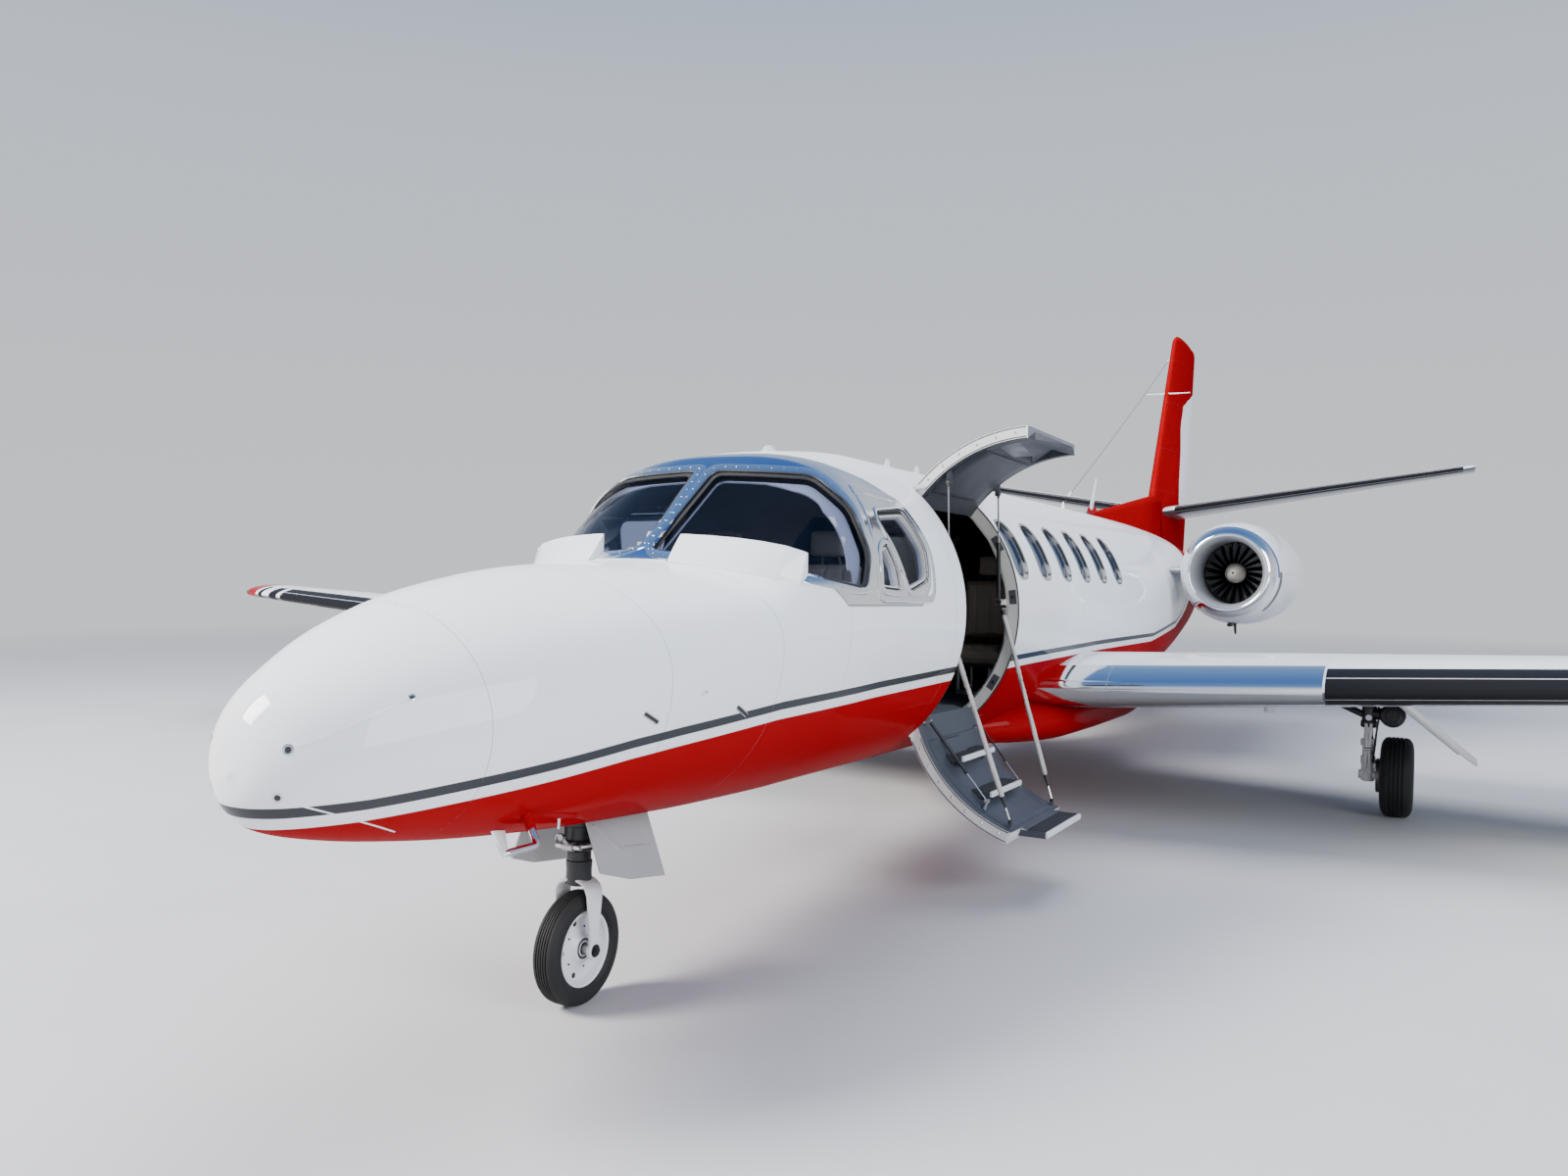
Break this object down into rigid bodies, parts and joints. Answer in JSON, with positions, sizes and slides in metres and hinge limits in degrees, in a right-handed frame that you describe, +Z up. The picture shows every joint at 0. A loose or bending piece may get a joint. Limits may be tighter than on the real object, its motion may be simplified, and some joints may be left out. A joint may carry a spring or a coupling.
{
  "type": "light business jet",
  "caption": "Light business jet with engines on the rear fuselage, parked on its gear with the split cabin door and steps open.",
  "frame": {"origin": "on the ground under the middle of the aircraft's bounding box", "axes": "+X towards the left wing tip, -Y towards the nose, +Z up"},
  "size_m": [15.935, 14.4353, 4.4792],
  "materials": {
    "white_paint": "gloss",
    "white_panel": "gloss paint",
    "red_paint": "gloss",
    "red_panel": "gloss paint",
    "grey_panel": "satin paint",
    "engine_case": "satin",
    "fan_metal": "satin",
    "bright_steel": "polished",
    "dark_steel": "satin",
    "white_casting": "satin",
    "strap_cloth": "woven",
    "panel_plastic": "matt",
    "floor": "carpeted",
    "seat_leather": "matt",
    "tinted_glass": "polished",
    "tyre_rubber": "matt"
  },
  "bodies": {
    "airframe": {"radome": "white_paint", "nose_section": "white_paint", "cockpit_section": "white_paint", "cabin_section": "white_paint", "tail_cone": "white_paint", "door_strap_front": "strap_cloth", "door_strap_rear": "strap_cloth", "cabin_floor": "floor", "instrument_panel": "panel_plastic", "stretcher": "seat_leather", "pilot_seat_left": "seat_leather", "pilot_seat_right": "seat_leather", "cabin_seat_1": "seat_leather", "cabin_seat_2": "seat_leather", "windscreen_left": "tinted_glass", "screen_fairing_left": "white_panel", "side_window_left": "tinted_glass", "cabin_windows_left": "tinted_glass", "wing_left": "white_panel", "tailplane_left": "white_panel", "nacelle_left": "white_panel", "engine_left": "engine_case", "main_leg_left": "dark_steel", "main_gear_door_left": "white_panel", "nose_gear_door_left": "grey_panel", "windscreen_right": "tinted_glass", "screen_fairing_right": "white_panel", "side_window_right": "tinted_glass", "cabin_windows_right": "tinted_glass", "wing_right": "white_panel", "tailplane_right": "white_panel", "nacelle_right": "white_panel", "engine_right": "engine_case", "main_leg_right": "dark_steel", "main_gear_door_right": "white_panel", "nose_gear_door_right": "grey_panel", "belly_fairing": "red_paint", "fin": "red_panel", "nose_leg": "dark_steel"},
    "nose_fork": {"nose_fork": "white_casting"},
    "nose_wheel": {"nose_wheel": "tyre_rubber"},
    "main_wheel_left": {"main_wheel_left": "tyre_rubber"},
    "main_wheel_right": {"main_wheel_right": "tyre_rubber"},
    "fan_left": {"fan_left": "fan_metal"},
    "fan_right": {"fan_right": "fan_metal"},
    "door_upper": {"door_upper": "white_panel"},
    "door_lower": {"door_lower": "white_panel"},
    "gas_strut_front": {"gas_strut_front": "dark_steel"},
    "gas_strut_rear": {"gas_strut_rear": "dark_steel"},
    "gas_strut_rod_front": {"gas_strut_rod_front": "bright_steel"},
    "gas_strut_rod_rear": {"gas_strut_rod_rear": "bright_steel"},
    "aileron_left": {"aileron_left": "white_panel"},
    "aileron_right": {"aileron_right": "white_panel"},
    "flap_left": {"flap_left": "white_panel"},
    "flap_right": {"flap_right": "white_panel"},
    "elevator_left": {"elevator_left": "white_panel"},
    "elevator_right": {"elevator_right": "white_panel"},
    "rudder": {"rudder": "white_panel"}
  },
  "joints": [
    {"name": "nose_steer", "type": "hinge", "parent": "airframe", "child": "nose_fork", "pos_m": [0, -5.65364, 0.222], "axis": [0, 0.0305, 0.9995], "range_deg": [-20, 20]},
    {"name": "nose_wheel_spin", "type": "hinge", "parent": "nose_fork", "child": "nose_wheel", "pos_m": [0, -5.65364, 0.222], "axis": [1, 0, 0], "continuous": true},
    {"name": "main_wheel_spin_left", "type": "hinge", "parent": "airframe", "child": "main_wheel_left", "pos_m": [2.71, -0.09164, 0.275], "axis": [1, 0, 0], "continuous": true},
    {"name": "fan_spin_left", "type": "hinge", "parent": "airframe", "child": "fan_left", "pos_m": [1.31, 2.08411, 1.63248], "axis": [0, -0.9995, 0.0305], "continuous": true},
    {"name": "main_wheel_spin_right", "type": "hinge", "parent": "airframe", "child": "main_wheel_right", "pos_m": [-2.71, -0.09164, 0.275], "axis": [1, 0, 0], "continuous": true},
    {"name": "fan_spin_right", "type": "hinge", "parent": "airframe", "child": "fan_right", "pos_m": [-1.31, 2.08411, 1.63248], "axis": [0, -0.9995, 0.0305], "continuous": true},
    {"name": "door_upper_swing", "type": "hinge", "parent": "airframe", "child": "door_upper", "pos_m": [0.52661, -3.12374, 2.10974], "axis": [0, 0.9995, -0.0305], "range_deg": [0, 90]},
    {"name": "door_lower_swing", "type": "hinge", "parent": "airframe", "child": "door_lower", "pos_m": [0.53868, -3.16302, 0.82434], "axis": [0, -0.9995, 0.0305], "range_deg": [0, 109], "deforming": ["door_strap_front", "door_strap_rear"]},
    {"name": "gas_strut_swing_front", "type": "hinge", "parent": "airframe", "child": "gas_strut_front", "pos_m": [0.725, -3.53952, 1.53417], "axis": [0, 0.9995, -0.0305], "range_deg": [-20.5, 0.5]},
    {"name": "gas_strut_stroke_front", "type": "slide", "parent": "gas_strut_front", "child": "gas_strut_rod_front", "axis": [-0.0337, 0.0305, 0.999], "range_m": [-0.181, 0.002]},
    {"name": "gas_strut_swing_rear", "type": "hinge", "parent": "airframe", "child": "gas_strut_rear", "pos_m": [0.725, -2.74389, 1.50986], "axis": [0, 0.9995, -0.0305], "range_deg": [-20.5, 0.5]},
    {"name": "gas_strut_stroke_rear", "type": "slide", "parent": "gas_strut_rear", "child": "gas_strut_rod_rear", "axis": [-0.0337, 0.0305, 0.999], "range_m": [-0.181, 0.002]},
    {"name": "flap_left_hinge", "type": "hinge", "parent": "airframe", "child": "flap_left", "pos_m": [1.12, 0.3129, 0.83416], "axis": [-0.9917, 0.1072, -0.0711], "range_deg": [0, 40]},
    {"name": "flap_right_hinge", "type": "hinge", "parent": "airframe", "child": "flap_right", "pos_m": [-1.12, 0.3129, 0.83416], "axis": [-0.9917, -0.1072, 0.0711], "range_deg": [0, 40]},
    {"name": "aileron_left_hinge", "type": "hinge", "parent": "airframe", "child": "aileron_left", "pos_m": [4.9, -0.07831, 1.10296], "axis": [-0.9919, 0.1103, -0.063], "range_deg": [-20, 20]},
    {"name": "aileron_right_hinge", "type": "hinge", "parent": "airframe", "child": "aileron_right", "pos_m": [-4.9, -0.07831, 1.10296], "axis": [-0.9919, -0.1103, 0.063], "range_deg": [-20, 20]},
    {"name": "elevator_left_hinge", "type": "hinge", "parent": "airframe", "child": "elevator_left", "pos_m": [0.33, 5.89512, 2.30555], "axis": [-0.9815, -0.1086, -0.1578], "range_deg": [-20, 15]},
    {"name": "elevator_right_hinge", "type": "hinge", "parent": "airframe", "child": "elevator_right", "pos_m": [-0.33, 5.89512, 2.30555], "axis": [-0.9815, 0.1086, 0.1578], "range_deg": [-20, 15]},
    {"name": "rudder_hinge", "type": "hinge", "parent": "airframe", "child": "rudder", "pos_m": [0, 6.04139, 2.0083], "axis": [0, 0.3047, 0.9525], "range_deg": [-22, 22]}
  ],
  "couplings": [
    {"joint": "flap_right_hinge", "follows": "flap_left_hinge", "ratio": 1},
    {"joint": "aileron_right_hinge", "follows": "aileron_left_hinge", "ratio": -1},
    {"joint": "elevator_right_hinge", "follows": "elevator_left_hinge", "ratio": 1},
    {"joint": "gas_strut_swing_front", "follows": "door_upper_swing", "ratio": -0.2209},
    {"joint": "gas_strut_stroke_front", "follows": "door_upper_swing", "m_per_rad": -0.11459},
    {"joint": "gas_strut_swing_rear", "follows": "door_upper_swing", "ratio": -0.2209},
    {"joint": "gas_strut_stroke_rear", "follows": "door_upper_swing", "m_per_rad": -0.11459}
  ]
}
